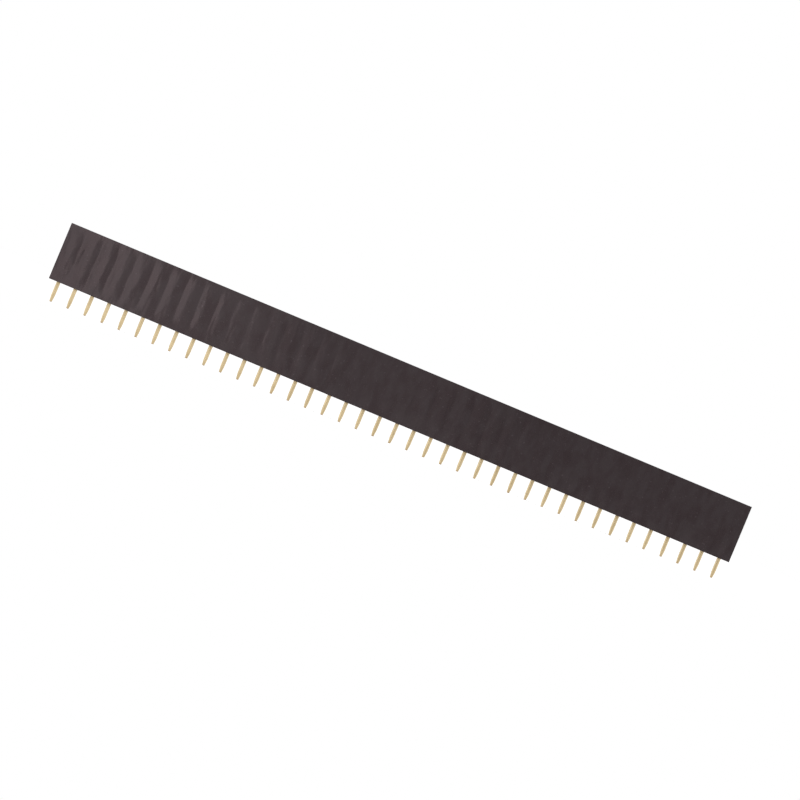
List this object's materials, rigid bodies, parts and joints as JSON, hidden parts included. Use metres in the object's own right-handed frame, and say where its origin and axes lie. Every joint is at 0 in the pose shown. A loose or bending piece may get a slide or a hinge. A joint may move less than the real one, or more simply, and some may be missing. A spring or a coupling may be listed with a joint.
{
  "type": "female pin header strip",
  "caption": "Single-row socket strip for square pins: black moulded housing with square lead-ins on top and sprung contacts whose flat solder tails stand out below.",
  "frame": {"origin": "middle of the row, on the plane of the circuit board that the housing sits on", "axes": "+X along the row, +Y across it, +Z from the board towards the mating pins"},
  "size_m": [0.102, 0.0024, 0.0112],
  "materials": {
    "housing_plastic": "satin, as moulded",
    "contact_metal": "gold-flashed stamped sheet"
  },
  "bodies": {
    "root": {"housing": "housing_plastic", "contact_01": "contact_metal", "contact_02": "contact_metal", "contact_03": "contact_metal", "contact_04": "contact_metal", "contact_05": "contact_metal", "contact_06": "contact_metal", "contact_07": "contact_metal", "contact_08": "contact_metal", "contact_09": "contact_metal", "contact_10": "contact_metal", "contact_11": "contact_metal", "contact_12": "contact_metal", "contact_13": "contact_metal", "contact_14": "contact_metal", "contact_15": "contact_metal", "contact_16": "contact_metal", "contact_17": "contact_metal", "contact_18": "contact_metal", "contact_19": "contact_metal", "contact_20": "contact_metal", "contact_21": "contact_metal", "contact_22": "contact_metal", "contact_23": "contact_metal", "contact_24": "contact_metal", "contact_25": "contact_metal", "contact_26": "contact_metal", "contact_27": "contact_metal", "contact_28": "contact_metal", "contact_29": "contact_metal", "contact_30": "contact_metal", "contact_31": "contact_metal", "contact_32": "contact_metal", "contact_33": "contact_metal", "contact_34": "contact_metal", "contact_35": "contact_metal", "contact_36": "contact_metal", "contact_37": "contact_metal", "contact_38": "contact_metal", "contact_39": "contact_metal", "contact_40": "contact_metal"}
  },
  "joints": []
}
